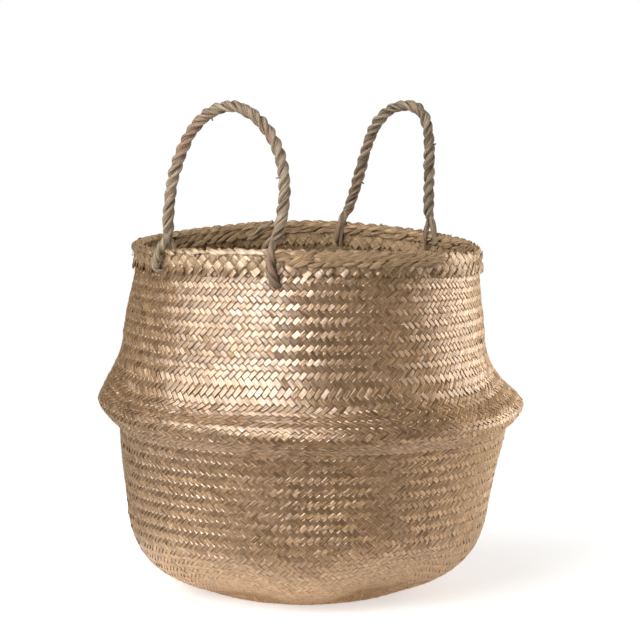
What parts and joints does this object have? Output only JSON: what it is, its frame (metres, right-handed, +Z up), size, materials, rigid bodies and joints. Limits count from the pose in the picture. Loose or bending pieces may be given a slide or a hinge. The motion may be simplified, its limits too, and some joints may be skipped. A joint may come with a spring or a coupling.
{
  "type": "rush basket",
  "caption": "Round woven rush belly basket with a wide bowl, an outward belly fold, a narrower upper wall, a turned-over rim and twisted rope handles.",
  "frame": {"origin": "on the floor plane under the middle of the flat base", "axes": "+Z up along the basket's own axis; the front handle stands towards -Y and the back handle towards +Y"},
  "size_m": [0.384, 0.384, 0.4467],
  "materials": {
    "gold_rush": "woven flat rush strips with thin metallic gold paint outside, natural inside",
    "border_rush": "wide folded rush strips, thinly painted gold, worn to natural rush at the edge",
    "natural_rush": "unpainted dry rush, matte",
    "rope_rush": "twisted natural rush rope, grey-olive to pink-brown, matte with fine grooves"
  },
  "bodies": {
    "bowl": {"lower_bowl": "gold_rush", "belly_fold": "gold_rush"},
    "upper": {"upper_wall": "gold_rush", "rim_band_outer": "border_rush", "rim_band_inner": "natural_rush", "rim_edge_braid": "border_rush", "front_handle_root_1": "rope_rush", "front_handle_root_2": "rope_rush", "back_handle_root_1": "rope_rush", "back_handle_root_2": "rope_rush", "front_handle_tail_1": "rope_rush", "front_handle_tail_2": "rope_rush", "back_handle_tail_1": "rope_rush", "back_handle_tail_2": "rope_rush"},
    "front_handle": {"front_handle_strand_1": "rope_rush", "front_handle_strand_2": "rope_rush", "front_handle_strand_3": "rope_rush"},
    "back_handle": {"back_handle_strand_1": "rope_rush", "back_handle_strand_2": "rope_rush", "back_handle_strand_3": "rope_rush"}
  },
  "joints": [
    {"name": "belly_fold_down", "type": "slide", "parent": "bowl", "child": "upper", "axis": [0, 0, 1], "range_m": [-0.12, 0], "deforming": ["belly_fold"]},
    {"name": "front_handle_swing", "type": "hinge", "parent": "upper", "child": "front_handle", "pos_m": [0, -0.14228, 0.33126], "axis": [1, 0, 0], "range_deg": [-105, 105]},
    {"name": "back_handle_swing", "type": "hinge", "parent": "upper", "child": "back_handle", "pos_m": [-0.00509, 0.14567, 0.33126], "axis": [-0.9994, -0.0349, 0], "range_deg": [-105, 105]}
  ]
}
